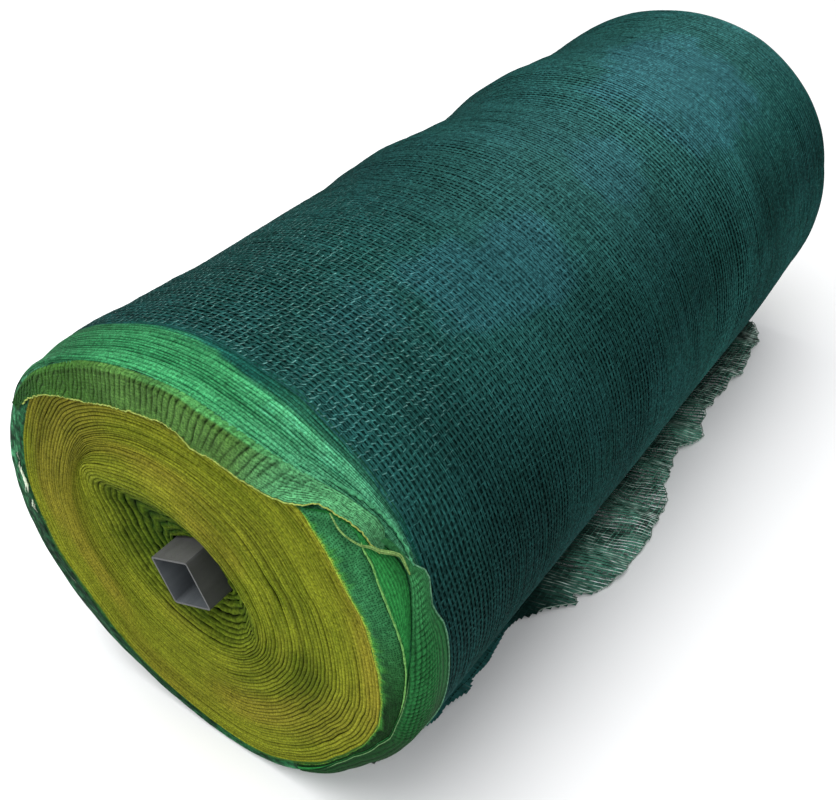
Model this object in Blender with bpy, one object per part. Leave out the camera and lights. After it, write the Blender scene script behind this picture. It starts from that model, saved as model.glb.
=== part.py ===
# A roll of olive harvesting net, wound on a square steel tube and lying on the ground.
# Metres, +Z up. The tube runs along Y, the end with the turned-in border faces -Y, and Z = 0 is the ground.
# A "turn" is an angle round the roll: 0 is straight up, and it grows towards +X.

import math

import bmesh
import bpy

# Driving sizes of the steel tube
TUBE_SIDE = 0.050
TUBE_WALL = 0.002
TUBE_CORNER = 0.003
TUBE_PROUD = 0.0066
TUBE_HEIGHT = 0.2225
TUBE_TURN = math.radians(21.0)

# Driving sizes of the wound net
ROLL_LENGTH = 0.981
ROLL_WIDTH = 0.4558
ROLL_HEIGHT = 0.433
FLAT_HALF_WIDTH = 0.035
CLEARANCE = 0.0003
STEPS_ROUND = 96

# The net sinks in around the tube at both ends, most at the near one, and farther to one side than the other.
RECESS_DEPTH = 0.0195
FAR_RECESS_DEPTH = 0.008
RECESS_REACH = 0.078
RECESS_STRETCH = 0.28
RECESS_LEAN = math.radians(-55)
FACE_RING_RADIUS = 0.044

# The near edge is tight over most of the roll and soft on the side where the border hangs loose.
TIGHT_SHOULDER = 0.005
SOFT_SHOULDER = 0.017
SOFT_TURN = math.radians(80)
SOFT_SPREAD = math.radians(50)
FAR_SHOULDER = 0.010
SHOULDER_STEPS = 4

# The border of the outer turns lies in soft pleats that run round the roll.
PLEATS_FROM = 0.018
PLEAT_WIDTH = 0.012
PLEAT_COUNT = 4
PLEAT_RISE = 0.0012

# Sheets of the same net
SHEET_THICKNESS = 0.002
FLOOR_THICKNESS = 0.0015
SHEET_LIFT = 0.0008
FREE_EDGE_RISE = 0.0022
FREE_EDGE_WAVES = 17

# Worked out from the driving sizes
NEAR = -ROLL_LENGTH / 2
FAR = ROLL_LENGTH / 2
HALF_WIDTH = ROLL_WIDTH / 2
SINK_SHARE = math.sqrt(1 - (FLAT_HALF_WIDTH / HALF_WIDTH) ** 2)
HALF_HEIGHT = ROLL_HEIGHT / (1 + SINK_SHARE)
CENTRE_HEIGHT = ROLL_HEIGHT - HALF_HEIGHT

# How far the roll swells along its length: distance from the near end, rise
SWELLS = (
    (0.150, 0.0008),
    (0.300, 0.0002),
    (0.400, -0.0006),
    (0.420, 0.0010),
    (0.560, 0.0004),
    (0.690, -0.0006),
    (0.715, 0.0010),
    (0.850, 0.0002),
    (0.960, 0.0000),
)

# The turned-in border over the near face: turn in degrees, inner edge, outer edge, bulge.
# Both edges are distances from the roll's near corner, negative on the face and positive on the side.
TOP_FLAP = (
    (-57, -0.009, -0.0015, 0.0),
    (-50, -0.019, -0.0020, 0.0),
    (-40, -0.026, -0.0020, 0.0),
    (-30, -0.034, -0.0020, 0.0),
    (-21, -0.041, -0.0010, 0.0),
    (-10, -0.041, 0.0010, 0.0),
    (-1, -0.042, 0.0035, 0.0),
    (7, -0.035, 0.0060, 0.0),
    (11, -0.042, 0.0062, 0.0),
    (19, -0.036, 0.0070, 0.0),
    (26, -0.033, 0.0090, 0.0),
    (32, -0.022, 0.0140, 0.0006),
    (36, -0.008, 0.0190, 0.0012),
    (40, 0.013, 0.0250, 0.0010),
    (46, 0.023, 0.0360, 0.0004),
    (52, 0.027, 0.0440, 0.0),
)

# The gathered border down the side: turn in degrees, inner edge, crease, outer edge, rise of its fold
SIDE_FLAP = (
    (57, 0.014, 0.040, 0.049, 0.0025),
    (62, 0.012, 0.039, 0.050, 0.0035),
    (66, 0.011, 0.037, 0.053, 0.0040),
    (71, 0.009, 0.026, 0.053, 0.0050),
    (77, 0.006, 0.014, 0.059, 0.0060),
    (84, 0.001, 0.004, 0.060, 0.0065),
    (92, -0.007, -0.002, 0.061, 0.0065),
    (101, -0.012, -0.006, 0.062, 0.0055),
    (112, -0.015, -0.008, 0.058, 0.0045),
    (124, -0.016, -0.009, 0.052, 0.0035),
    (136, -0.014, -0.007, 0.044, 0.0025),
    (148, -0.010, -0.004, 0.034, 0.0015),
)

# The loose end on the ground: distance from the near end, how far its edge lies from the roll's middle
LOOSE_EDGE = (
    (0.060, 0.140),
    (0.087, 0.157),
    (0.134, 0.163),
    (0.152, 0.172),
    (0.180, 0.176),
    (0.194, 0.170),
    (0.231, 0.166),
    (0.268, 0.166),
    (0.292, 0.169),
    (0.331, 0.196),
    (0.374, 0.222),
    (0.437, 0.231),
    (0.477, 0.234),
    (0.511, 0.226),
    (0.549, 0.221),
    (0.583, 0.208),
    (0.624, 0.202),
    (0.677, 0.210),
    (0.722, 0.204),
    (0.824, 0.197),
    (0.900, 0.191),
    (0.940, 0.188),
    (0.975, 0.172),
)
LOOSE_START = 0.046
LOOSE_COLUMNS = 76
LOOSE_ROWS = 9
RUFFLE_RISE = 0.007
RUFFLE_FROM = 0.115
RUFFLE_TO = 0.190
RUFFLE_LENGTH = 0.082
SECOND_RUFFLE_LENGTH = 0.047


def smooth(share):
    """Eases a share from 0 to 1, level at both ends."""
    share = min(max(share, 0.0), 1.0)
    return share * share * (3 - 2 * share)


def read_row(rows, key):
    """Reads a table between its rows, each column eased from one row to the next."""
    if key <= rows[0][0]:
        return rows[0][1:]
    for low, high in zip(rows, rows[1:]):
        if key <= high[0]:
            share = (key - low[0]) / (high[0] - low[0])
            return tuple(a + (b - a) * share for a, b in zip(low[1:], high[1:]))
    return rows[-1][1:]


def turn_between(a, b):
    """The angle from b to a, from minus to plus half a turn."""
    return (a - b + math.pi) % math.tau - math.pi


def oval_point(turn, rise):
    """(x, z) of the roll's round outline, moved out by rise."""
    x = HALF_WIDTH * math.sin(turn)
    z = HALF_HEIGHT * math.cos(turn)
    across = x / HALF_WIDTH**2
    up = z / HALF_HEIGHT**2
    length = math.hypot(across, up)
    return x + rise * across / length, CENTRE_HEIGHT + z + rise * up / length


def shoulder(turn):
    """How far the near edge's rounding reaches along the face and along the side."""
    softness = math.exp(-((turn_between(turn, SOFT_TURN) / SOFT_SPREAD) ** 2))
    return TIGHT_SHOULDER + (SOFT_SHOULDER - TIGHT_SHOULDER) * softness


def near_corner(turn, along, lift):
    """A point on the net round the near corner: along is negative on the face and positive on the side."""
    size = shoulder(turn)
    share = min(max((along + size) / (2 * size), 0.0), 1.0)
    inset = size * (1 - share) ** 2 + max(-along - size, 0.0)
    depth = size * share**2 + max(along - size, 0.0)
    length = math.hypot(share, 1 - share)
    x, z = oval_point(turn, lift * share / length - inset)
    return x, NEAR + depth - lift * (1 - share) / length, z


def recess_depth(x, z, deepest):
    """How far the face lies back at a place, deepest beside the tube."""
    up = z - TUBE_HEIGHT
    distance = math.hypot(x, up)
    reach = RECESS_REACH * (1 + RECESS_STRETCH * math.cos(math.atan2(x, up) - RECESS_LEAN))
    return deepest * smooth((reach - distance) / (reach - TUBE_SIDE / 2))


def off_ground(turn):
    """1 round most of the roll, easing to 0 where it lies on the ground."""
    return smooth((1 + math.cos(turn)) / 0.5)


def new_object(name, mesh_data, colour, roughness, metallic, smooth_angle):
    """An object of its own, with its own Principled material."""
    mesh = bpy.data.meshes.new(name)
    mesh_data.normal_update()
    mesh_data.to_mesh(mesh)
    mesh_data.free()
    mesh.shade_smooth()
    mesh.set_sharp_from_angle(angle=math.radians(smooth_angle))
    material = bpy.data.materials.new(name)
    material.use_nodes = True
    shader = material.node_tree.nodes["Principled BSDF"]
    shader.inputs["Base Color"].default_value = (*colour, 1)
    shader.inputs["Roughness"].default_value = roughness
    shader.inputs["Metallic"].default_value = metallic
    mesh.materials.append(material)
    made = bpy.data.objects.new(name, mesh)
    bpy.context.scene.collection.objects.link(made)
    return made


def add_ring(mesh, points):
    return [mesh.verts.new(p) for p in points]


def join_rings(mesh, first, second):
    """Faces between two closed rings of as many points, facing out where second lies farther along +Y."""
    count = len(first)
    for i in range(count):
        j = (i + 1) % count
        mesh.faces.new((first[i], first[j], second[j], second[i]))


def cap_to_square(mesh, corners, ring, outward_first):
    """Faces between the tube's four corners and the ring of points round them."""
    count = len(ring)
    quarter = count // 4
    for side, corner in enumerate(corners):
        following = corners[(side + 1) % 4]
        first = side * quarter - quarter // 2
        steps = range(first, first + quarter)
        faces = [(corner, ring[i % count], ring[(i + 1) % count]) for i in steps]
        faces.append((corner, ring[(first + quarter) % count], following))
        for face in faces:
            mesh.faces.new(face if outward_first else tuple(reversed(face)))


def square_corners(half_side, y):
    """The corners of a square round the tube's axis, in the order of growing turns."""
    reach = half_side * math.sqrt(2)
    turns = [TUBE_TURN + side * math.pi / 2 for side in range(4)]
    return [(reach * math.sin(t), y, TUBE_HEIGHT + reach * math.cos(t)) for t in turns]


def face_ring(turns, rim, share, near):
    """A ring on an end face, from the ring round the tube at share 0 to the rim at share 1."""
    points = []
    for turn, (rim_x, rim_y, rim_z) in zip(turns, rim):
        x = FACE_RING_RADIUS * math.sin(turn) * (1 - share) + rim_x * share
        z = (TUBE_HEIGHT + FACE_RING_RADIUS * math.cos(turn)) * (1 - share) + rim_z * share
        depth = recess_depth(x, z, RECESS_DEPTH) if near else -recess_depth(x, z, FAR_RECESS_DEPTH)
        points.append((x, rim_y + depth, z))
    return points


def side_ring(turns, distance, rise):
    """A ring round the roll at a distance from the near end, pressed flat where it lies on the ground."""
    outline = [oval_point(turn, rise * off_ground(turn)) for turn in turns]
    return [(x, NEAR + distance, max(z, 0.0)) for x, z in outline]


def make_net_roll():
    """The wound net: one solid with a square way through it for the tube."""
    turns = [TUBE_TURN + i * math.tau / STEPS_ROUND for i in range(STEPS_ROUND)]
    rings = []
    near_rim = [near_corner(t, -shoulder(t), 0.0) for t in turns]
    for share in (0, 0.06, 0.13, 0.21, 0.31, 0.48, 0.74, 1):
        rings.append(face_ring(turns, near_rim, share, near=True))
    for step in range(1, SHOULDER_STEPS + 1):
        reach = 2 * step / SHOULDER_STEPS - 1
        points = [near_corner(t, reach * shoulder(t), 0.0) for t in turns]
        rings.append([(x, y, max(z, 0.0)) for x, y, z in points])
    for step in range(2 * PLEAT_COUNT + 1):
        rings.append(side_ring(turns, PLEATS_FROM + step * PLEAT_WIDTH / 2, PLEAT_RISE * (step % 2)))
    for distance, rise in SWELLS:
        rings.append(side_ring(turns, distance, rise))
    far_rim = []
    for step in range(SHOULDER_STEPS):
        share = (step + 1) / SHOULDER_STEPS
        back = FAR_SHOULDER * (1 - share) ** 2
        outline = [oval_point(t, -FAR_SHOULDER * share**2) for t in turns]
        far_rim = [(x, FAR - back, max(z, 0.0)) for x, z in outline]
        rings.append(far_rim)
    for share in (0.62, 0.3, 0.15, 0):
        rings.append(face_ring(turns, far_rim, share, near=False))
    mesh = bmesh.new()
    made = [add_ring(mesh, ring) for ring in rings]
    for first, second in zip(made, made[1:]):
        join_rings(mesh, first, second)
    bore = TUBE_SIDE / 2 + CLEARANCE
    near_square = add_ring(mesh, square_corners(bore, NEAR + RECESS_DEPTH))
    far_square = add_ring(mesh, square_corners(bore, FAR - FAR_RECESS_DEPTH))
    cap_to_square(mesh, near_square, made[0], outward_first=False)
    cap_to_square(mesh, far_square, made[-1], outward_first=True)
    join_rings(mesh, far_square, near_square)
    return new_object("net_roll", mesh, (0.012, 0.085, 0.078), 0.8, 0.0, 50)


def rounded_square(side, corner, y):
    """The outline of a square tube with rounded corners, in the order of growing turns."""
    middle = side / 2 - corner
    points = []
    for quarter in range(4):
        turn = TUBE_TURN + quarter * math.pi / 2
        reach = middle * math.sqrt(2)
        x = reach * math.sin(turn)
        z = reach * math.cos(turn)
        for step in (-45, -15, 15, 45):
            at = turn + math.radians(step)
            points.append((x + corner * math.sin(at), y, TUBE_HEIGHT + z + corner * math.cos(at)))
    return points


def make_core_tube():
    """The square steel tube through the middle, open at both ends."""
    inner_side = TUBE_SIDE - 2 * TUBE_WALL
    inner_corner = TUBE_CORNER - TUBE_WALL
    mesh = bmesh.new()
    near_outside = add_ring(mesh, rounded_square(TUBE_SIDE, TUBE_CORNER, NEAR - TUBE_PROUD))
    far_outside = add_ring(mesh, rounded_square(TUBE_SIDE, TUBE_CORNER, FAR + TUBE_PROUD))
    far_inside = add_ring(mesh, rounded_square(inner_side, inner_corner, FAR + TUBE_PROUD))
    near_inside = add_ring(mesh, rounded_square(inner_side, inner_corner, NEAR - TUBE_PROUD))
    loop = (near_outside, far_outside, far_inside, near_inside)
    for first, second in zip(loop, loop[1:] + loop[:1]):
        join_rings(mesh, first, second)
    return new_object("core_tube", mesh, (0.10, 0.10, 0.107), 0.45, 0.8, 30)


def sheet_from_grids(name, upper, lower, colour):
    """A closed sheet between two grids of points, upper being the side that faces out."""
    mesh = bmesh.new()
    tops = [add_ring(mesh, row) for row in upper]
    bottoms = [add_ring(mesh, row) for row in lower]
    rows, columns = len(tops), len(tops[0])
    for i in range(rows - 1):
        for j in range(columns - 1):
            mesh.faces.new((tops[i][j], tops[i][j + 1], tops[i + 1][j + 1], tops[i + 1][j]))
            mesh.faces.new((bottoms[i][j], bottoms[i + 1][j], bottoms[i + 1][j + 1], bottoms[i][j + 1]))
    edge = [(0, j) for j in range(columns - 1)]
    edge += [(i, columns - 1) for i in range(rows - 1)]
    edge += [(rows - 1, j) for j in range(columns - 1, 0, -1)]
    edge += [(i, 0) for i in range(rows - 1, 0, -1)]
    for (i, j), (k, m) in zip(edge, edge[1:] + edge[:1]):
        mesh.faces.new((tops[k][m], tops[i][j], bottoms[i][j], bottoms[k][m]))
    bmesh.ops.recalc_face_normals(mesh, faces=mesh.faces)
    return new_object(name, mesh, colour, 0.75, 0.0, 60)


def clear_lift(along):
    """The lift that keeps a sheet off the net under it, and off the pleats on the side."""
    return SHEET_LIFT + PLEAT_RISE * smooth((along - PLEATS_FROM + 0.008) / 0.008)


def make_top_flap():
    """The border turned in over the top of the near face, its free edge a little raised and uneven."""
    columns = 56
    rows = 13
    first = TOP_FLAP[0][0]
    last = TOP_FLAP[-1][0]
    upper, lower = [], []
    for column in range(columns):
        degrees = first + (last - first) * column / (columns - 1)
        inner, outer, bulge = read_row(TOP_FLAP, degrees)
        turn = math.radians(degrees)
        wave = 0.5 + 0.5 * math.sin(FREE_EDGE_WAVES * turn)
        tops, bottoms = [], []
        for row in range(rows):
            share = 1 - (1 - row / (rows - 1)) ** 1.5
            along = inner + (outer - inner) * share
            raised = FREE_EDGE_RISE * (1 - smooth(share / 0.45)) * wave
            lift = clear_lift(along) + bulge + raised
            bottoms.append(near_corner(turn, along, lift))
            tops.append(near_corner(turn, along, lift + SHEET_THICKNESS))
        upper.append(tops)
        lower.append(bottoms)
    return sheet_from_grids("top_flap", upper, lower, (0.075, 0.32, 0.13))


def make_side_flap():
    """The gathered border that hangs down the side, narrow at its neck and full below it."""
    columns = 30
    rows = 15
    first = SIDE_FLAP[0][0]
    last = SIDE_FLAP[-1][0]
    crease_share = 0.3
    upper, lower = [], []
    for column in range(columns):
        degrees = first + (last - first) * column / (columns - 1)
        inner, crease, outer, fold_rise = read_row(SIDE_FLAP, degrees)
        turn = math.radians(degrees)
        tops, bottoms = [], []
        for row in range(rows):
            share = row / (rows - 1)
            if share < crease_share:
                part = share / crease_share
                along = inner + (crease - inner) * part
                fold = 0.3 * math.sin(math.pi * part)
            else:
                part = (share - crease_share) / (1 - crease_share)
                along = crease + (outer - crease) * part
                fold = math.sin(math.pi * part**0.7) * (1 + 0.18 * math.sin(3 * math.tau * part))
            lift = clear_lift(along) + fold_rise * fold
            bottoms.append(near_corner(turn, along, lift))
            tops.append(near_corner(turn, along, lift + SHEET_THICKNESS))
        upper.append(tops)
        lower.append(bottoms)
    return sheet_from_grids("side_flap", upper, lower, (0.045, 0.26, 0.09))


def ruffle_height(x, distance):
    """How far the loose end rises off the ground, in ruffles that grow towards its free edge."""
    growth = smooth((x - RUFFLE_FROM) / (RUFFLE_TO - RUFFLE_FROM))
    slant = 0.25 * (x - RUFFLE_FROM)
    main = math.sin(math.tau * (distance + slant) / RUFFLE_LENGTH)
    second = math.sin(math.tau * (distance - slant) / SECOND_RUFFLE_LENGTH + 1.0)
    return RUFFLE_RISE * growth * max(0.5 + 0.35 * main + 0.25 * second, 0.0)


def make_loose_end():
    """The end of the net that runs out from under the roll and lies ruffled on the ground beside it."""
    first = LOOSE_EDGE[0][0]
    last = LOOSE_EDGE[-1][0]
    upper, lower = [], []
    for column in range(LOOSE_COLUMNS):
        distance = first + (last - first) * column / (LOOSE_COLUMNS - 1)
        edge = read_row(LOOSE_EDGE, distance)[0]
        tops, bottoms = [], []
        for row in range(LOOSE_ROWS):
            share = (row / (LOOSE_ROWS - 1)) ** 0.6
            x = LOOSE_START + (edge - LOOSE_START) * share
            height = ruffle_height(x, distance)
            bottoms.append((x, NEAR + distance, height))
            tops.append((x, NEAR + distance, height + FLOOR_THICKNESS))
        upper.append(tops)
        lower.append(bottoms)
    return sheet_from_grids("loose_end", upper, lower, (0.055, 0.13, 0.10))


def main():
    for existing in list(bpy.data.objects):
        bpy.data.objects.remove(existing)
    make_net_roll()
    make_core_tube()
    make_top_flap()
    make_side_flap()
    make_loose_end()


main()
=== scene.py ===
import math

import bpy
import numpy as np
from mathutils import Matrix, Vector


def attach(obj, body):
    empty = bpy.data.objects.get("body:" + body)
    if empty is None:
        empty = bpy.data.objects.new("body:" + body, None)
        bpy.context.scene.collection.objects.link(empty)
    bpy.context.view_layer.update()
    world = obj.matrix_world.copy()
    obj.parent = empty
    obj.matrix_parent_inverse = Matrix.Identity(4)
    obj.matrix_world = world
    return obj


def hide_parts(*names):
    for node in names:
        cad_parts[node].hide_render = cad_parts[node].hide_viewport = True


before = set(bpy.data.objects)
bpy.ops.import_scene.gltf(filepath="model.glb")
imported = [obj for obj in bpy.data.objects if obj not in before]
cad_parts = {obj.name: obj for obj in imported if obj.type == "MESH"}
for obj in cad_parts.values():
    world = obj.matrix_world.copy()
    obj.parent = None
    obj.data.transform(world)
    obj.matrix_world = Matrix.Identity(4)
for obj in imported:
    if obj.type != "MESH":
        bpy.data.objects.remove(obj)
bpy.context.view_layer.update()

# A roll of olive harvesting net on a square steel tube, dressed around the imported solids.
# Metres, +Z up. The tube runs along Y, the near end faces -Y, and the ground is Z = 0.
# "turn" is an angle round the roll, 0 straight up and growing towards +X.
# "along" is a distance from the near corner: negative on the near face, positive on the side.
# Tables give turns in degrees and lengths in metres.

TAU = math.tau

# The roll
LENGTH = 0.981
NEAR = -LENGTH / 2
FAR = LENGTH / 2
HALF_WIDTH = 0.2279
HALF_HEIGHT = 0.217793
CENTRE_HEIGHT = 0.215207
MEAN_RADIUS = 0.2222
TIGHT_SHOULDER = 0.005
SOFT_SHOULDER = 0.017
FAR_SHOULDER = 0.010
FLOOR_GAP = 0.0004

# The tube
TUBE_HEIGHT = 0.2225
TUBE_SIDE = 0.050
TUBE_TURN = math.radians(21.0)
TUBE_CORNER = 0.0343  # from the axis to its rounded corners
TUBE_END = 0.4969

# The net
BODY_FROM = 0.058
BODY_TO = 0.972
HOOP_PITCH = 0.0048
HOOP_STEPS = 112
WALE_COUNT = 216
SKIN_LIFT = 0.0006
UNDER_FROM = 0.040
UNDER_LIFT = -0.0008
HOOP_HALF_WIDTH = 0.00078
HOOP_CREST = 0.0006
HOOPS_APART = 0.0017
WALE_HALF_WIDTH = 0.00122
CROSSING_HALF_WIDTH = 0.00036
PLEATS = 19
EDGE_LIFT = 0.0024
SHEET_THICKNESS = 0.0006

# The camera, fitted to the photo, and the floor
CAMERA_PLACE = (0.4981, -0.8602, 0.8897)
CAMERA_YAW = math.radians(-35.05)
CAMERA_PITCH = math.radians(38.83)
CAMERA_LENS = 44.785
FLOOR_REACH = 30.0
FLOOR_HEIGHT = -0.0005

ACROSS, ALONG, UP = np.eye(3)


# Shapes

def smooth(share):
    share = np.clip(share, 0.0, 1.0)
    return share * share * (3 - 2 * share)


def ease(values, start, width):
    """0 up to start and 1 from a width past it, with soft ends. The width may be negative."""
    return smooth((values - start) / width)


def hump(values, middle, width):
    """1 in the middle, falling off smoothly on both sides."""
    return np.exp(-(((values - middle) / width) ** 2))


def valley(phase, width):
    """1 where the phase is a whole number, and narrow where the width is small."""
    return np.exp(-((np.sin(math.pi * phase) / width) ** 2))


def blend(first, second, share):
    """From the first colour to the second, by a share at each point."""
    return first + (second - first) * share[..., None]


def each(level):
    """A level at each point, to go with the three parts of its colour."""
    return level[..., None]


def rgb(*levels):
    return np.array(levels)


def ring(count):
    """Turns all the way round the roll."""
    return np.linspace(0, TAU, count + 1)[:-1]


def stacked(*parts):
    """Coordinates side by side in a new last axis."""
    return np.stack(np.broadcast_arrays(*parts), axis=-1)


def read(rows, values):
    """A table's further columns at the given values of its first column."""
    table = np.array(rows, float).T
    found = [np.interp(values, table[0], column) for column in table[1:]]
    return found if len(found) > 1 else found[0]


def eased(rows, values):
    """A two-column table read with soft bends at its rows."""
    table = np.array(rows, float)
    at = np.interp(values, table[:, 0], np.arange(len(table)))
    row = np.clip(np.floor(at).astype(int), 0, len(table) - 2)
    return table[row, 1] + (table[row + 1, 1] - table[row, 1]) * smooth(at - row)


def noise(u, v, seed, wrap=256):
    """Smooth value noise from -1 to 1, which repeats after wrap steps of u."""
    lattice = np.random.RandomState(seed).uniform(-1, 1, (256, 256))
    u, v = np.broadcast_arrays(np.asarray(u, float), np.asarray(v, float))
    iu, iv = np.floor(u).astype(int), np.floor(v).astype(int)
    fu, fv = smooth(u - iu), smooth(v - iv)
    a, b, c, d = (lattice[(iu + i) % wrap, (iv + j) % 256] for j in (0, 1) for i in (0, 1))
    return (a * (1 - fu) + b * fu) * (1 - fv) + (c * (1 - fu) + d * fu) * fv


def turn_noise(turn, v, steps, seed):
    """Noise that closes on itself round the roll, with that many steps in a full turn."""
    return noise(turn / TAU * steps, v, seed, wrap=steps)


def signed(turn):
    """The same turn between -180 and 180 degrees."""
    return (turn + math.pi) % TAU - math.pi


def oval(turn, rise):
    """The roll's outline, or a line that runs a rise outside it."""
    x = HALF_WIDTH * np.sin(turn)
    z = HALF_HEIGHT * np.cos(turn)
    across = x / HALF_WIDTH**2
    up = z / HALF_HEIGHT**2
    length = np.hypot(across, up)
    return x + rise * across / length, CENTRE_HEIGHT + z + rise * up / length


def shoulder(turn):
    """How large the rounding of the near rim is."""
    off = signed(turn - math.radians(80))
    return TIGHT_SHOULDER + (SOFT_SHOULDER - TIGHT_SHOULDER) * hump(off, 0, math.radians(50))


NEAR_SETTLE = (
    # turn, how far the net stands off the solid's near rim
    (-180, -0.0036), (-172, -0.0052), (-158, -0.0055), (-150, -0.0050), (-143, -0.0016), (-138, 0.0),
    (-120, 0.0004), (-112, 0.0018), (-102, 0.0), (-87, -0.0040), (-76, -0.0060), (-67, -0.0066),
    (-60, -0.0062), (-50, -0.0030), (-40, -0.0006), (-20, 0.0), (100, 0.0), (110, -0.0060),
    (120, -0.0130), (130, -0.0140), (140, -0.0100), (150, -0.0066), (160, -0.0014), (170, -0.0012),
    (180, -0.0036),
)
FAR_SETTLE = (
    # turn, how far it stands off the solid's far rim
    (-180, -0.004), (-50, -0.003), (-30, -0.005), (-10, -0.006), (10, -0.004), (25, -0.002),
    (50, -0.004), (62, -0.006), (75, -0.010), (95, -0.009), (110, -0.006), (125, -0.002), (180, -0.004),
)
SWELLS = (
    # distance from the near end, how far it stands off along the length
    (0.000, 0.0000), (0.028, 0.0036), (0.055, 0.0042), (0.100, 0.0012), (0.140, 0.0000), (0.185, -0.0022),
    (0.300, -0.0018), (0.370, -0.0022), (0.420, 0.0016), (0.460, 0.0030), (0.500, -0.0006), (0.530, -0.0035),
    (0.600, -0.0072), (0.640, -0.0030), (0.680, 0.0026), (0.715, 0.0028), (0.760, -0.0012), (0.820, -0.0052),
    (0.880, -0.0040), (0.981, -0.0040),
)


def settle(turn, distance):
    """How far the wound net stands off the solid: it sags and swells by a few millimetres."""
    degrees = np.degrees(signed(turn))
    near = read(NEAR_SETTLE, degrees) * smooth(1 - distance / 0.070)
    far = read(FAR_SETTLE, degrees) * ease(distance, 0.78, 0.20)
    slant = distance + 0.010 * np.sin(turn * 2)
    swell = eased(SWELLS, slant) * ease(np.cos(turn), -0.45, 0.7)
    return near + swell * ease(distance, 0.95, -0.08) + far


def corner(turn, along, lift):
    """Points on the net round the near corner and along the side."""
    turn, along, lift = np.broadcast_arrays(turn, along, lift)
    size = shoulder(turn)
    share = np.clip((along + size) / (2 * size), 0, 1)
    inset = size * (1 - share) ** 2 + np.maximum(-along - size, 0)
    depth = size * share**2 + np.maximum(along - size, 0)
    length = np.hypot(share, 1 - share)
    x, z = oval(turn, lift * share / length - inset + settle(turn, depth))
    y = NEAR + depth - lift * (1 - share) / length
    return stacked(x, y, np.maximum(z, FLOOR_GAP))


def body_points(turn, distance, lift):
    """Points on the roll's side."""
    x, z = oval(turn, lift + settle(turn, distance))
    return stacked(x, NEAR + distance, np.maximum(z, FLOOR_GAP))


# Meshes

def new_piece(name, points, faces, material, tint, uv=None):
    """A smooth mesh object from arrays, with a colour per point and a UV map where given."""
    mesh = bpy.data.meshes.new(name)
    points = np.asarray(points, float).reshape(-1, 3)
    mesh.from_pydata(points.tolist(), [], np.asarray(faces, int).tolist())
    if uv is not None:
        corners = np.empty(len(mesh.loops), dtype=np.int32)
        mesh.loops.foreach_get("vertex_index", corners)
        layer = mesh.uv_layers.new(name="UVMap")
        layer.data.foreach_set("uv", np.asarray(uv, np.float32).reshape(-1, 2)[corners].ravel())
    colours = np.ones((len(points), 4), np.float32)
    colours[:, :3] = np.clip(np.asarray(tint, np.float32).reshape(-1, 3), 0.001, 0.9)
    layer = mesh.color_attributes.new(name="tint", type="FLOAT_COLOR", domain="POINT")
    layer.data.foreach_set("color", colours.ravel())
    mesh.shade_smooth()
    mesh.materials.append(material)
    piece = bpy.data.objects.new(name, mesh)
    bpy.context.scene.collection.objects.link(piece)
    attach(piece, "root")
    return piece


def grid_faces(rows, columns, close_rows=False, close_columns=False):
    """Faces of a grid whose point (row, column) has the number row * columns + column."""
    i = np.arange(rows if close_rows else rows - 1)
    j = np.arange(columns if close_columns else columns - 1)
    i, j = np.meshgrid(i, j, indexing="ij")
    k = (i + 1) % rows
    m = (j + 1) % columns
    quads = np.stack([i * columns + j, i * columns + m, k * columns + m, k * columns + j], axis=-1)
    return quads.reshape(-1, 4)


def strands(centres, across, half_width, up=None, crest=0.0):
    """Strands from centres of (strand, step, 3): flat bands, or ridges where up is given."""
    sides = across * half_width
    lines = [centres - sides, centres + sides]
    if up is not None:
        lines.insert(1, centres + up * crest)
    return np.stack(lines, axis=2)


def strand_faces(count, steps, wide, closed=False, flip=False):
    """Faces of strands laid out as (strand, step, points across)."""
    one = grid_faces(steps, wide, close_rows=closed)
    if flip:
        one = one[:, ::-1]
    offsets = np.arange(count)[:, None, None] * (steps * wide)
    return (one[None] + offsets).reshape(-1, 4)


def strand_piece(name, points, material, tint, closed=False, flip=False, sides=1.0):
    """Teal strands with a colour per step. Their sides may get a level of painted shade apart from the crest."""
    count, steps, wide, _ = points.shape
    tint = np.repeat(tint[:, :, None, :], wide, axis=2)
    tint[:, :, (0, -1)] *= sides
    faces = strand_faces(count, steps, wide, closed, flip)
    return new_piece(name, points, faces, material, tint)


def outward(turn):
    return stacked(np.sin(turn), 0.0, np.cos(turn))


def round_ways(turn):
    return stacked(np.cos(turn), 0.0, -np.sin(turn))


def band_grid(turns, rows, inner, outer):
    """A grid over a band round the roll: the share of the way across it, the turn and the along."""
    share, turn = np.meshgrid(np.linspace(0, 1, rows), turns, indexing="ij")
    return share, turn, inner + (outer - inner) * share


def net_band(name, turn, along, lift, material, cells, tint, closed=False):
    """Green net round the near corner. Cells are the meshes in a full turn and one mesh's length."""
    faces = grid_faces(*turn.shape, close_columns=closed)
    uv = stacked(turn / TAU * cells[0], along / cells[1])
    return new_piece(name, corner(turn, along, lift), faces, material, tint, uv)


def tube(name, path, radius, material, colour, sides=6, height=1.0, cells=(1.0, 3 / TAU)):
    """A bead along a path. Cells are the meshes in a step and in a radian round it."""
    tangent = np.gradient(path, axis=0)
    tangent /= np.linalg.norm(tangent, axis=1)[:, None]
    side = np.cross(tangent, np.array([0.0, -0.6, 0.8]))
    side /= np.linalg.norm(side, axis=1)[:, None]
    up = np.cross(side, tangent)
    angles = ring(sides)
    size = np.asarray(radius, float)
    size = size if size.ndim == 2 else size.reshape(-1, 1)
    points = path[:, None] + side[:, None] * each(size * np.cos(angles))
    points = points + up[:, None] * each(size * height * np.sin(angles))
    uv = stacked(np.arange(len(path))[:, None] * cells[0], angles * cells[1])
    faces = grid_faces(len(path), sides, close_columns=True)
    return new_piece(name, points, faces, material, np.ones(points.shape) * colour, uv)


# Materials

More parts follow.
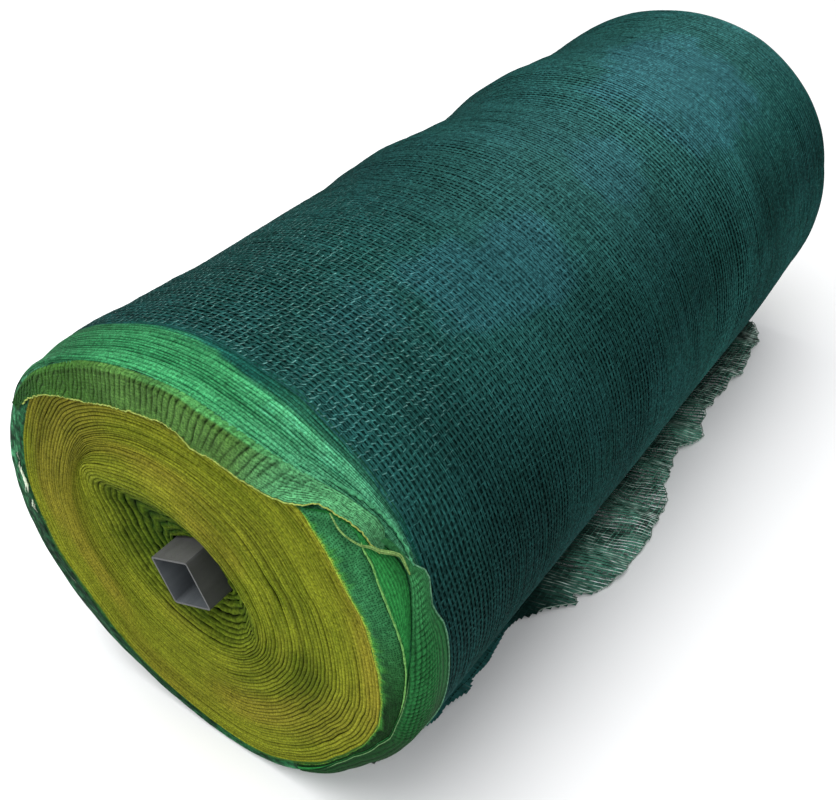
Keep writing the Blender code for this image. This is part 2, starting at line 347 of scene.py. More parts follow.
def material_tree(name, levels):
    """An empty material whose shader has the given levels on its own sockets."""
    material = bpy.data.materials.new(name)
    material.use_nodes = True
    tree = material.node_tree
    tree.nodes.clear()
    output = tree.nodes.new("ShaderNodeOutputMaterial")
    shader = tree.nodes.new("ShaderNodeBsdfPrincipled")
    tree.links.new(shader.outputs[0], output.inputs[0])
    for socket, level in levels.items():
        shader.inputs[socket].default_value = level
    return material, tree, shader


def add(tree, kind, inputs=None, **settings):
    """A node with its settings and inputs; an input that is a socket is linked."""
    made = tree.nodes.new(kind)
    for key, value in settings.items():
        setattr(made, key, value)
    for key, value in (inputs or {}).items():
        if isinstance(value, bpy.types.NodeSocket):
            tree.links.new(value, made.inputs[key])
        else:
            made.inputs[key].default_value = value
    return made


def maths(tree, operation, first, second=0.0):
    return add(tree, "ShaderNodeMath", {0: first, 1: second}, operation=operation).outputs[0]


def mix_colour(tree, share, first, second, kind="MIX"):
    first, second = ((*c, 1.0) if isinstance(c, tuple) else c for c in (first, second))
    sockets = {0: share, 6: first, 7: second}
    return add(tree, "ShaderNodeMix", sockets, data_type="RGBA", blend_type=kind).outputs[2]


def texture(tree, place, scale, detail=2.0):
    """Noise through the object, as one level."""
    sockets = {"Vector": place, "Scale": scale, "Detail": detail}
    return add(tree, "ShaderNodeTexNoise", sockets).outputs["Fac"]


def ramp(tree, factor, to_low=0.0, to_high=1.0, low=0.3, high=0.7):
    sockets = {"Value": factor, "From Min": low, "From Max": high, "To Min": to_low, "To Max": to_high}
    return add(tree, "ShaderNodeMapRange", sockets).outputs[0]


def times(tree, colour, level):
    """A colour made lighter or darker by a level."""
    grey = add(tree, "ShaderNodeCombineColor", {0: level, 1: level, 2: level}).outputs[0]
    return mix_colour(tree, 1.0, colour, grey, "MULTIPLY")


def bump(tree, shader, height, strength, distance):
    made = add(tree, "ShaderNodeBump", {"Strength": strength, "Distance": distance, "Height": height})
    tree.links.new(made.outputs[0], shader.inputs["Normal"])


def start_net(name, roughness, specular):
    """A net material: the tint of its piece and the place in the object, ready to use."""
    material, tree, shader = material_tree(name, {"Roughness": roughness, "Specular IOR Level": specular})
    tint = add(tree, "ShaderNodeAttribute", attribute_name="tint").outputs["Color"]
    place = add(tree, "ShaderNodeTexCoord").outputs["Object"]
    return material, tree, shader, tint, place


def thread_material(name, grain, specular, variation):
    """Plastic threads: the piece's own tint, broken up by grain, with a fine fibre bump."""
    material, tree, shader, tint, place = start_net(name, 0.6, specular)
    broad = texture(tree, place, grain, 3.0)
    fine = texture(tree, place, grain * 2.3)
    levels = [ramp(tree, part, 1 - variation, 1 + variation) for part in (broad, fine)]
    tree.links.new(times(tree, tint, maths(tree, "MULTIPLY", *levels)), shader.inputs["Base Color"])
    bump(tree, shader, fine, 0.4, 0.0006)
    return material


def woven_material(name, gap, thread_share, roughness=0.6, depth=0.6, specular=0.03, speckle=0.25,
                   wander=(60.0, 0.35)):
    """A close net seen as a surface: threads both ways in the UV map, with painted shade in the gaps between them."""
    material, tree, shader, tint, place = start_net(name, roughness, specular)
    uv = add(tree, "ShaderNodeTexCoord").outputs["UV"]
    split = add(tree, "ShaderNodeSeparateXYZ", {"Vector": uv})
    shift = ramp(tree, texture(tree, place, wander[0]), -wander[1], wander[1], low=0.2, high=0.8)
    half = 0.5 * thread_share
    lines = []
    for axis in (0, 1):
        moved = maths(tree, "FRACT", maths(tree, "ADD", split.outputs[axis], shift))
        swing = maths(tree, "ABSOLUTE", maths(tree, "SUBTRACT", moved, 0.5))
        lines.append(ramp(tree, swing, 1.0, 0.0, low=half, high=half + 0.16))
    weave = maths(tree, "MAXIMUM", *lines)
    lit = times(tree, tint, ramp(tree, texture(tree, place, 420.0), 1 - speckle, 1 + speckle))
    # The gap colour darkens the tint: painted shade in the holes of the net
    dark = mix_colour(tree, 1.0, tint, gap, "MULTIPLY")
    tree.links.new(mix_colour(tree, weave, dark, lit), shader.inputs["Base Color"])
    bump(tree, shader, weave, depth, 0.0008)
    return material


THREAD = thread_material("teal_thread", 210.0, specular=0.015, variation=0.42)
THREAD_MATT = thread_material("loose_thread", 90.0, specular=0.08, variation=0.25)
UNDER = woven_material("under_layers", (0.55, 0.60, 0.60), 0.42, roughness=0.7, specular=0.01)
KNIT = woven_material("green_knit", (0.46, 0.58, 0.50), 0.52, depth=0.5, speckle=0.40, wander=(120.0, 0.7))
BORDER_KNIT = woven_material("border_knit", (0.34, 0.50, 0.42), 0.50, depth=0.5, speckle=0.46,
                             wander=(120.0, 0.6))
MESH_BAND = woven_material("mesh_band", (0.32, 0.42, 0.40), 0.40, specular=0.02, speckle=0.35,
                           wander=(140.0, 0.9))
SELVEDGE = woven_material("knitted_edges", (0.66, 0.70, 0.54), 0.55, roughness=0.75, speckle=0.42,
                          wander=(100.0, 0.6))


# The teal net on the side

GREEN_TEAL = rgb(0.0118, 0.0640, 0.0556)
BLUE_TEAL = rgb(0.0150, 0.0690, 0.0740)
# Painted sheen: a paler tint added along the top towards the far end
SHEEN = rgb(0.014, 0.010, 0.020)
# Painted glint on some of the crossing threads
CROSSING_SHINE = rgb(0.120, 0.175, 0.160)
# Painted highlights: bluish patches along the top of the roll
BLUE_HIGHLIGHT_PATCHES = (
    # turn, its change per metre along the roll, distance, half width in degrees, half length, strength
    (27, 61, 0.305, 13.0, 0.098, 1.0), (18, 0, 0.165, 9.0, 0.050, 0.55),
    (26, 0, 0.545, 11.0, 0.062, 0.75), (19, 0, 0.770, 24.0, 0.130, 0.95),
)
TONE_PATCHES = (
    # turn, distance, half width in degrees, half length, change of lightness
    (-9, 0.268, 10.0, 0.050, -0.16), (45, 0.140, 12.0, 0.040, -0.20), (46, 0.554, 14.0, 0.080, -0.17),
    (95, 0.676, 14.0, 0.080, -0.15), (11, 0.594, 10.0, 0.060, -0.12), (32, 0.378, 9.0, 0.050, 0.18),
    (14, 0.342, 8.0, 0.040, 0.15), (66, 0.352, 8.0, 0.060, 0.34),
)


def teal(turn, distance):
    """The teal net's colour: blue in green that varies at random, painted bluish highlights and sheen along the top,
    and painted shade on the left and the right side.
    """
    degrees = np.degrees(signed(turn))
    patches = turn_noise(turn, distance * 10, 16, 12) + 0.6 * turn_noise(turn, distance * 26, 44, 13)
    fine = turn_noise(turn, distance * 75, 110, 14)
    to_blue = 0.14 + 0.10 * patches + 0.12 * fine
    # Painted bluish highlights along the top, over the random blue
    for middle, lean, place, wide, long, strength in BLUE_HIGHLIGHT_PATCHES:
        off = (degrees - middle - lean * (distance - place)) / wide
        inside = 1.25 - off**4 - ((distance - place) / long) ** 4 + 0.45 * patches + 0.40 * fine
        to_blue = np.maximum(to_blue, strength * smooth(inside / 0.8))
    # Painted shade: the left side darker, the right side darker still, lighter again low on the right away from the
    # near end
    shade = (0.37 + 0.63 * ease(degrees, -58, 82)) * (1 - 0.10 * ease(distance, 0.25, 0.15))
    shade *= 1 - 0.54 * ease(degrees, 36, 40)
    shade *= 1 + 0.55 * ease(degrees, 66, 16) * ease(distance, 0.22, 0.25)
    # Painted sheen along the top, towards the far end
    sheen = 0.52 * hump(degrees, 16, 25) * ease(distance / LENGTH, 0.22, 0.30)
    level = 1 + sheen + 0.10 * to_blue + 0.05 * fine + 0.12 * turn_noise(turn, distance * 13, 5, 11)
    level += 0.45 * hump(distance + 0.0017 * degrees, 0.80, 0.030) * ease(degrees, 20, 30)
    level += 0.08 * np.sin(distance * 31 + 0.6 * np.sin(turn * 3))
    level += 0.18 * hump(distance, 0.09, 0.045) * ease(degrees, 8, 18)
    for middle, place, wide, long, change in TONE_PATCHES:
        level += change * hump(degrees, middle, wide) * hump(distance, place, long)
    colour = blend(GREEN_TEAL, BLUE_TEAL, np.clip(to_blue, 0, 1))
    return (colour * each(level) + SHEEN * each(sheen)) * each(shade)


def lay(turn, row):
    """How far from the near end a hoop runs: it starts along the border's edge and wanders."""
    edge = read(BORDER_EDGES, np.degrees(signed(turn)))[1] - 0.002
    follow = (edge - BODY_FROM) * np.exp(-(row - BODY_FROM) / 0.070)
    bend = 0.0030 * turn_noise(turn, row * 9, 5, 24) + 0.0009 * turn_noise(turn, row * 60, 12, 25)
    return row + follow + bend * ease(row, BODY_FROM, 0.06) * ease(row, BODY_TO, -0.03)


def front_left_part(turn, distance):
    """Where the photo's net is loosest and shines most: the near part of the upper left."""
    degrees = np.degrees(signed(turn))
    return ease(np.abs(degrees), 60, -30) * ease(distance - 0.002 * (20 - degrees), 0.36, -0.22)


def low_right_part(turn):
    """Where the photo's net hangs away from the light."""
    return ease(np.degrees(signed(turn)), 40, 25)


def waver(turn, row):
    """How the threads along the roll sway from side to side."""
    return 0.0045 * turn_noise(turn, row * 24, 40, 31)


def make_hoops(part, name):
    """Half of the threads that run round the roll: each mesh has two, side by side."""
    rows = np.arange(BODY_FROM - HOOP_PITCH, BODY_TO, HOOP_PITCH)
    t, row = np.meshgrid(ring(HOOP_STEPS), rows)
    number = np.broadcast_to(np.arange(len(rows))[:, None] * 2.0 + part, t.shape)
    pair = np.floor(number / 2)
    near_part = 1 - ease(row, 0.10, 0.26)
    far_part = ease(row, 0.40, 0.25)
    own = 0.00016 * turn_noise(t, number * 1.7 + 0.5, 11, 21)
    shared = 0.00022 * turn_noise(t, pair * 1.7 + 0.5, 9, 22)
    apart = HOOPS_APART - 0.0004 * near_part - 0.0004 * far_part
    distance = lay(t, row) + (part - 0.5) * apart + (own + shared) * (1 + near_part)
    lift = SKIN_LIFT + 0.0004 * turn_noise(t, number * 1.3, 48, 23)
    half_width = HOOP_HALF_WIDTH - 0.00012 * near_part - 0.00006 * far_part
    points = strands(body_points(t, distance, lift), ALONG, each(half_width), outward(t), HOOP_CREST)
    level = 1.20 + 0.14 * turn_noise(t, number * 2.3 + 0.5, 16, 26)
    level += 0.10 * turn_noise(t, number * 3.7, 100, 27)
    level += 0.08 * (1 + near_part) * turn_noise(t, pair * 3.1 + 0.5, 13, 28)
    level += 0.08 * low_right_part(t) + 0.16 * far_part - 0.12 * front_left_part(t, row)
    tint = teal(t, distance) * each(level)
    # The hoops' sides are darker than their crests: painted shade on round threads
    return strand_piece(name, points, THREAD, tint, closed=True, sides=0.76)


def make_wales():
    """The flat bands of thread that run along the roll under the hoops."""
    rows = np.linspace(BODY_FROM, BODY_TO + 0.003, 120)
    t, row = np.meshgrid(ring(WALE_COUNT), rows, indexing="ij")
    moved = t + waver(t, row) + 0.0018 * turn_noise(t, row * 150, WALE_COUNT, 32)
    distance = lay(t, row)
    half_width = WALE_HALF_WIDTH + 0.0004 * turn_noise(t, row * 90, WALE_COUNT, 33)
    points = strands(body_points(moved, distance, SKIN_LIFT - 0.0001), round_ways(t), each(half_width))
    level = 0.90 + 0.15 * turn_noise(t, row * 70, WALE_COUNT, 34) - 0.20 * front_left_part(t, row)
    level -= 0.28 * low_right_part(t) + 0.14 * ease(row, 0.40, 0.25)
    strand_piece("net_wales", points, THREAD, teal(t, distance) * each(level))


def make_crossings():
    """Short threads that cross from hoop to hoop, some of them with painted glints."""
    random = np.random.RandomState(35)
    rows = np.arange(BODY_FROM - HOOP_PITCH / 2, BODY_TO - HOOP_PITCH, HOOP_PITCH)
    t, row = (a.ravel() for a in np.meshgrid(ring(WALE_COUNT), rows, indexing="ij"))
    front_left, low_right = front_left_part(t, row), low_right_part(t)
    kept = random.uniform(0, 1, t.shape) < 0.25 + 0.67 * front_left + 0.06 * low_right
    t, row, front_left, low_right = t[kept], row[kept], front_left[kept], low_right[kept]
    count = len(t)
    slant = 0.0080 * front_left + random.uniform(-0.0045, 0.0045, count) * (1 + front_left)
    slant = slant + 0.003 * turn_noise(t, row * 40, 30, 36)
    curl = random.uniform(-0.0016, 0.0016, count)
    t = t + waver(t, row) + random.uniform(-0.22, 0.22, count) * TAU / WALE_COUNT
    length = HOOP_PITCH * (1.0 + random.uniform(-0.35, 0.05, count) * front_left)
    share = np.array([0.02, 0.5, 0.98])
    turn = each(t) + each(slant) * (share - 0.5) + each(curl) * (1 - (2 * share - 1) ** 2)
    distance = each(lay(t, row)) + (share - 0.5) * each(length)
    lift = SKIN_LIFT + np.array([0.0008, 0.0004, 0.0008])
    half_width = (CROSSING_HALF_WIDTH + 0.00012 * front_left)[:, None, None]
    points = strands(body_points(turn, distance, lift), round_ways(turn), half_width)
    # Painted glints, most of them on the near part of the upper left
    shine = 0.44 * random.uniform(0, 1, count) ** 1.6 * (0.10 + 0.90 * front_left)
    level = 1.10 + (0.30 + 0.65 * random.uniform(0, 1, count)) * front_left
    level += random.uniform(0, 0.6, count) * low_right
    tint = teal(t, row) * each(level) + CROSSING_SHINE * each(shine) + 0.010 * each(front_left)
    strand_piece("net_crossings", points, THREAD, np.repeat(tint[:, None], len(share), axis=1))


def make_under_layers():
    """The turns under the outer net, seen through its meshes, darker as painted shade."""
    t, s = np.meshgrid(ring(180), np.linspace(UNDER_FROM, LENGTH - FAR_SHOULDER, 120))
    uv = stacked(t / TAU * WALE_COUNT * 1.04, s / HOOP_PITCH * 1.07)
    faces = grid_faces(*t.shape, close_columns=True)
    points = body_points(t, s, UNDER_LIFT)
    # Darker than the outer net: painted shade under it
    new_piece("net_under_layers", points, faces, UNDER, teal(t, s) * 0.56, uv)


def make_body():
    make_under_layers()
    first = make_hoops(0, "net_hoops")
    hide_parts("net_roll")
    make_hoops(1, "net_hoops_between")
    make_wales()
    make_crossings()


# The green border

BORDER_EDGES = (
    # turn, front line, teal boundary
    (-180, 0.004, 0.058), (-60, 0.003, 0.056), (-40, -0.0020, 0.056), (-20, -0.0020, 0.0568),
    (-10, 0.0010, 0.0632), (-2, 0.0030, 0.0660), (8, 0.0055, 0.0672), (15, 0.0060, 0.0668),
    (22, 0.0070, 0.0692), (32, 0.0130, 0.0668), (44, 0.0300, 0.0648), (52, 0.0400, 0.0630),
    (58, 0.0420, 0.0590), (63, 0.0420, 0.0550), (68, 0.0400, 0.0510), (80, 0.0400, 0.0520),
    (110, 0.040, 0.054), (150, 0.020, 0.058), (180, 0.004, 0.058),
)
BORDER_TONE = (
    # share of the way from the front line to the teal boundary, how light it is
    (0.0, 0.95), (0.12, 1.05), (0.30, 0.95), (0.60, 0.98), (0.78, 0.70), (1.0, 0.50),
)


def make_border():
    """The outer turns' bright green border, in fine pleats that run round the roll."""
    turns = ring(420)
    front, back = read(BORDER_EDGES, np.degrees(signed(turns)))
    vv, tt, ss = band_grid(turns, PLEATS * 7 + 1, front, back)
    deg = np.degrees(signed(tt))
    phase = vv * PLEATS + 0.5 * turn_noise(tt, vv * 4, 6, 41) + 0.20 * turn_noise(tt, vv * 14, 18, 42)
    pleat = np.floor(phase + 0.5)
    own = turn_noise(tt, pleat * 1.9 + 0.5, 7, 45)
    dash = turn_noise(tt, pleat * 3.3 + 0.5, 140, 47)
    depth = np.clip(0.74 + 0.16 * own + 0.32 * dash, 0.25, 0.97) * valley(phase, 0.56 + 0.22 * own)
    depth = 1 - (1 - depth) * (1 - (0.34 + 0.24 * dash) * valley(phase * 3, 0.6))
    lift = 0.0012 - 0.0010 * depth - 0.0009 * ease(vv, 0.84, 0.10)

    bright = rgb(0.042, 0.225, 0.086)
    mint = rgb(0.100, 0.335, 0.186)
    edge_teal = rgb(0.006, 0.060, 0.046)
    colour = blend(bright, mint, ease(deg, 8, 40) * 0.85)
    nearer = vv + 0.10 * ease(deg, -5, 20) + 0.05 * ease(deg, 25, 20)
    tone = eased(BORDER_TONE, vv) + 0.30 * hump(nearer, 0.66, 0.10) * ease(deg, 2, 18)
    # Darker on the left and on the right side: painted shade
    colour *= each(tone * (1.06 - 0.58 * ease(deg, 6, -44) - 0.45 * ease(deg, 46, 16)))
    low = ease(deg, 36, 18)
    limit = 0.80 - 0.19 * ease(deg, -5, 25) - 0.26 * low
    limit = limit + 0.05 * turn_noise(tt, vv, 10, 44) + 0.04 * turn_noise(tt, vv * 8, 150, 43)
    to_teal = smooth((vv - limit) / (0.12 + 0.20 * low))
    colour = blend(colour, edge_teal, to_teal * (1 - 0.34 * ease(deg, 12, 15) * ease(deg, 56, -10)))
    # Light threads: two on the way to the teal, five in the middle of the upper right part
    line = smooth(1 - np.abs(vv - 0.81) / 0.024) + 0.6 * smooth(1 - np.abs(vv - 0.715) / 0.018)
    line *= ease(deg, -12, 14) * np.clip(0.75 + 0.6 * dash, 0.1, 1.3)
    threads = sum(hump(nearer, at, 0.016) for at in (0.50, 0.57, 0.64, 0.71, 0.78))
    threads *= np.clip(0.45 + 0.9 * turn_noise(tt, vv * 9, 170, 48), 0, 1)
    threads *= ease(deg, 10, 14) * ease(deg, 62, -10)
    colour += rgb(0.016, 0.085, 0.066) * each(line) + rgb(0.055, 0.190, 0.125) * each(threads)
    level = 1.26 + 0.26 * turn_noise(tt, np.floor(phase) * 2.3 + 0.5, 15, 46)
    # Painted shade, growing towards the right
    level *= 1 - 0.10 * ease(deg, -12, 20) - 0.12 * ease(deg, 20, 20)
    # Painted shade in the lines between the pleats; they stay green, so red falls off most
    colour *= each(level) * each(1 - depth) ** np.array([1.55, 0.92, 1.02])
    net_band("border_pleats", tt, ss, lift, BORDER_KNIT, (520, 0.0016), colour, closed=True)


# The end faces

YELLOW_EDGE = (
    # turn, along
    (-180, -0.0116), (-171, -0.0120), (-158, -0.0130), (-148, -0.0150), (-143, -0.0200), (-138, -0.0240),
    (-132, -0.0270), (-122, -0.0270), (-113, -0.0250), (-102, -0.0260), (-87, -0.0205), (-66, -0.0190),
    (-50, -0.0165), (-40, -0.0120), (0, -0.0080), (38.5, -0.0040), (43.8, -0.0084), (51.8, -0.0144),
    (59.0, -0.0180), (64.0, -0.0164), (72.2, -0.0200), (81.8, -0.0228), (92.5, -0.0236), (101.8, -0.0240),
    (113.5, -0.0184), (125.5, -0.0146), (148, -0.0120), (166, -0.0104), (180, -0.0116),
)
CORE_SHARE = 0.135
CORE_PITCH = 0.0044
OUTER_PITCH = 0.0036
FACE_DEPTH = 0.0195
FAR_DEPTH = 0.008
LONG_AXIS = math.radians(-58)
FACE_STEPS = 256
FACE_PROFILE = np.array([-0.5, -0.31, 0.0, 0.32, 0.5])
FACE_HEIGHTS = np.array([0.0, 0.82, 1.0, 0.76, 0.0])[None]
FAR_STEPS = 120
FAR_TURNS = 34


def turn_pitch(share):
    return CORE_PITCH + (OUTER_PITCH - CORE_PITCH) * ease(share, 0.52, 0.16)


def hug_tube(turn, share, x, z):
    """Draws the innermost turns in round the square tube."""
    hug = 1 - ease(share, CORE_SHARE, 0.11)
    gap = 0.0010 + MEAN_RADIUS * (share - CORE_SHARE)
    from_side = (turn - TUBE_TURN) % (math.pi / 2) - math.pi / 4
    radius = np.minimum((TUBE_SIDE / 2 + gap) / np.cos(from_side), TUBE_CORNER + gap)
    x = x * (1 - hug) + radius * np.sin(turn) * hug
    return x, z * (1 - hug) + (TUBE_HEIGHT + radius * np.cos(turn)) * hug


def face_xz(turn, share):
    """Where a turn runs on the near face: oval outside, a leaning lozenge, then the tube's square."""
    rim = corner(turn, read(YELLOW_EDGE, np.degrees(turn)), 0)
    pull = 1 - ease(share, 0.16, 0.60)
    off = turn - LONG_AXIS
    sine, cosine = math.sin(LONG_AXIS), math.cos(LONG_AXIS)
    long_part = 1.22 * MEAN_RADIUS * share * np.cos(off)
    short_part = 0.86 * MEAN_RADIUS * share * np.sin(off)
    drift = np.sin(math.pi * np.clip((share - 0.15) / 0.65, 0, 1)) ** 2
    peak = 0.024 * hump(signed(off), 0, 0.38) * ease(share, 0.135, 0.10) * (1 - ease(share, 0.28, 0.34))
    x = rim[..., 0] * share * (1 - pull) + (long_part * sine + short_part * cosine) * pull
    z = (rim[..., 2] - CENTRE_HEIGHT) * share * (1 - pull) + (long_part * cosine - short_part * sine) * pull
    z = z + CENTRE_HEIGHT + (TUBE_HEIGHT - CENTRE_HEIGHT) * (1 - share)
    return hug_tube(turn, share, x - 0.012 * drift + peak * sine, z + 0.008 * drift + peak * cosine)


def make_face():
    """The near face: the knitted edges of the turns, telescoped inwards round the tube."""
    shares = np.linspace(CORE_SHARE, 1.0, 400)
    pitches = turn_pitch(shares)
    widths = np.diff(shares) * 2 * MEAN_RADIUS / (pitches[1:] + pitches[:-1])
    counts = np.concatenate([[0], np.cumsum(widths)])
    path = (np.arange(int(counts[-1]) * FACE_STEPS + 1) / FACE_STEPS)[:, None]
    n = np.clip(path + FACE_PROFILE, 0, counts[-1])
    share = np.interp(n, counts, shares)
    turn = signed(np.broadcast_to((path * TAU) % TAU, n.shape))
    degrees = np.degrees(turn)
    inner = 1 - ease(share, 0.17, 0.26)
    # Neighbouring turns wave together, most at the upper left of the tube
    wave = 0.0004 + 0.0021 * inner * (0.30 + 0.70 * hump(degrees, -50, 50))
    ripple = turn_noise(turn, share * 9, 34, 51) + 0.75 * turn_noise(turn, share * 16, 84, 52)
    sway = wave * ease(share, CORE_SHARE, 0.03) * ripple + 0.00035 * noise(path * 60, 3.5, 57)
    x, z = face_xz(turn, share)
    out = np.hypot(x, z - TUBE_HEIGHT) + 1e-6
    x, z = x + sway * x / out, z + sway * (z - TUBE_HEIGHT) / out
    depth = FACE_DEPTH * (1 - ease(share, 0.150, 0.21))
    offset = 0.0009 * noise(path * 6, 7.5, 53) + 0.0008 * inner * noise(path * 60, 0, 54)
    y = NEAR + depth + offset + 0.0016 - FACE_HEIGHTS * turn_pitch(share) * 0.42

    yellow = rgb(0.225, 0.250, 0.0180)
    olive = rgb(0.088, 0.118, 0.0060)
    green = rgb(0.022, 0.070, 0.0080)
    olive_zone = hump(degrees, 105, 30) * hump(share, 0.66, 0.14)
    blotch = turn_noise(turn, path * 1.3, 44, 59)
    to_olive = 0.46 * smooth(0.5 + 0.9 * turn_noise(turn, share * 5, 7, 55)) + 0.9 * olive_zone
    to_olive = to_olive + 0.78 * inner + 0.26 * turn_noise(turn, share * 15, 18, 60) + 0.26 * blotch
    colour = blend(yellow, olive, np.clip(to_olive, 0, 1))
    warm = smooth(0.2 + 1.3 * turn_noise(turn, share * 7, 9, 115)) * (1 - inner)
    colour *= 1 + rgb(0.10, -0.09, 0.25) * each(warm)
    green_part = inner * np.clip(0.22 + 2.0 * (1 - FACE_HEIGHTS), 0, 0.95)
    colour = blend(colour, green, green_part * (0.5 + 0.5 * ease(degrees, 40, -60)))
    # Painted shade in the gaps between the turns: faint on the flat outer turns and dark nearer the tube
    plain_right = ease(share, 0.72, 0.15) * hump(degrees, 60, 32)
    plain = np.maximum(plain_right, 0.7 * ease(share, 0.70, 0.15) * hump(degrees, -95, 35))
    gap = 0.60 + 0.38 * turn_noise(turn, path * 1.7, 9, 58) + 0.30 * turn_noise(turn, path * 3.1, 60, 66)
    gap = np.clip(gap - 0.40 * plain + 0.08 * inner, 0.08, 0.92)
    level = (0.90 + 0.20 * noise(path * 3.1, 1.5, 56)) * (0.82 + 0.22 * hump(degrees, 80, 50))
    level *= (1 + 0.10 * inner) * (1 + 0.07 * ease(np.abs(degrees), 135, 30))
    level *= 1 + 0.14 * turn_noise(turn, path * 2.9, 120, 65) + 0.08 * blotch
    level *= 1 - gap * (1 - FACE_HEIGHTS ** (0.8 + 1.5 * inner))
    colour *= (1 - rgb(0.20, 0.06, 0.0) * each(inner)) * each(level)
    faces = grid_faces(*n.shape)
    uv = stacked(path * 300, n * 3)
    new_piece("face_turns", stacked(x, y, z), faces, SELVEDGE, colour, uv)


def make_far_end():
    """The end that the photo doesn't show: plain turns inside a rounded rim."""
    path = (np.arange((FAR_TURNS + 1) * FAR_STEPS + 1) / FAR_STEPS)[:, None]
    heights = np.array([0.0, 1.0, 0.0])[None]
    n = path + np.array([-0.5, 0.0, 0.5])
    share = CORE_SHARE + (1 - CORE_SHARE) * np.clip(n, 0, FAR_TURNS) / FAR_TURNS
    turn = signed(np.broadcast_to(path * TAU, n.shape))
    rim_x, rim_z = oval(turn, settle(turn, LENGTH) - FAR_SHOULDER)
    z = CENTRE_HEIGHT + (TUBE_HEIGHT - CENTRE_HEIGHT) * (1 - share) + (rim_z - CENTRE_HEIGHT) * share
    x, z = hug_tube(turn, share, rim_x * share, z)
    wave = 0.0012 * turn_noise(turn, share * 9, 30, 62) * ease(share, CORE_SHARE, 0.05)
    depth = FAR_DEPTH * (1 - ease(share, 0.15, 0.25))
    y = FAR - depth - 0.0022 + 0.0022 * heights + 0.0006 * noise(path * 7, 0, 61)
    points = stacked(x + wave * np.sin(turn), y, z + wave * np.cos(turn))
    patch = smooth(0.5 + 0.9 * turn_noise(turn, share * 5, 7, 63))
    # Painted shade in the gaps between the turns
    colour = blend(rgb(0.15, 0.20, 0.016), rgb(0.080, 0.145, 0.014), patch) * each(0.35 + 0.65 * heights)
    uv = stacked(path * 300, n * 3)
    new_piece("far_face_turns", points, grid_faces(*n.shape)[:, ::-1], SELVEDGE, colour, uv)

    q, t = np.meshgrid(np.linspace(-0.5, 1, 19), ring(240), indexing="ij")
    distance = LENGTH - FAR_SHOULDER * (1 - q) ** 2
    rise = SKIN_LIFT + 0.0005 * np.abs(np.sin(q * 14 + turn_noise(t, q * 3, 9, 64)))
    q = np.maximum(q, 0)
    points = body_points(t, distance, rise - FAR_SHOULDER * q**2 - 0.0010 * (q == 0))
    tint = blend(teal(t, 0 * t + LENGTH), rgb(0.014, 0.125, 0.050), q)
    faces = grid_faces(*q.shape, close_columns=True)
    new_piece("far_shoulder", points, faces, KNIT, tint, stacked(t / TAU * 900, q * 10))


RIM_THREADS = (
    # first turn, last turn, along, thickness, how light it is with its painted glint
    (-79.5, -86.0, -0.0148, 0.0008, 0.70), (-81.5, -90.0, -0.0170, 0.0013, 1.00), (-84.0, -91.5, -0.0190, 0.0012, 0.90),
    (-87.0, -92.0, -0.0158, 0.0007, 0.55), (-93.5, -97.5, -0.0205, 0.0011, 0.75), (-95.0, -98.5, -0.0226, 0.0007, 0.50),
    (-75.5, -79.0, -0.0138, 0.0006, 0.35), (-121.5, -124.0, -0.0205, 0.0004, 0.22),
)


def make_shoulder():
    """The green rim between the yellow face and the border, all the way round."""
    turns = ring(720)
    degrees = np.degrees(signed(turns))
    ragged = turn_noise(turns, 0.5, 110, 75) + 0.7 * turn_noise(turns, 0.5, 240, 76)
    inner = read(YELLOW_EDGE, degrees) - 0.002 + 0.0009 * ragged
    outer = np.maximum(read(BORDER_EDGES, degrees)[0], 0.002) + 0.003
    vv, tt, ss = band_grid(turns, 25, inner, outer)
    folds = 0.5 * turn_noise(tt, vv * 4, 40, 71) + 0.5 * turn_noise(tt, vv * 9, 110, 73)
    mottle = turn_noise(tt, vv * 22, 250, 74)
    lift = 0.0006 + 0.0007 * folds - 0.0012 * smooth(1 - vv / 0.15)
    # Painted light and shade: the raised folds lighter, the hollows and the edge by the face darker
    dark = rgb(0.010, 0.070, 0.026)
    light = rgb(0.026, 0.135, 0.060)
    colour = blend(dark, light, ease(vv, 0.10, 0.5) * np.clip(0.40 + 1.1 * folds, 0, 1.3))
    colour *= each(np.clip(0.90 + 0.95 * mottle, 0.25, 2.0))
    colour += rgb(0.030, 0.070, 0.040) * each(ease(mottle, 0.35, 0.3) * ease(vv, 0.2, 0.2))
    # Painted shade on the lower left
    colour *= each(1 - 0.52 * ease(degrees, -84, -22))
    colour = blend(colour, rgb(0.045, 0.120, 0.018), smooth(1 - vv / 0.12))
    net_band("shoulder_net", tt, ss, lift, KNIT, (720, 0.002), colour, closed=True)

    # Loose pale threads on the left rim, with painted glints
    share = np.linspace(0, 1, 24)
    for number, (first, last, along, thick, shine) in enumerate(RIM_THREADS):
        turn = np.radians(first + (last - first) * share)
        path = corner(turn, along + 0.0012 * np.sin(share * 5 + number), 0.0018)
        radius = thick * np.sin(math.pi * (0.05 + 0.90 * share)) * (0.8 + 0.3 * np.sin(share * 23 + number))
        name = "rim_thread_%d" % (number + 1)
        tube(name, path, radius, THREAD_MATT, rgb(0.60, 0.68, 0.52) * shine)


# Flaps

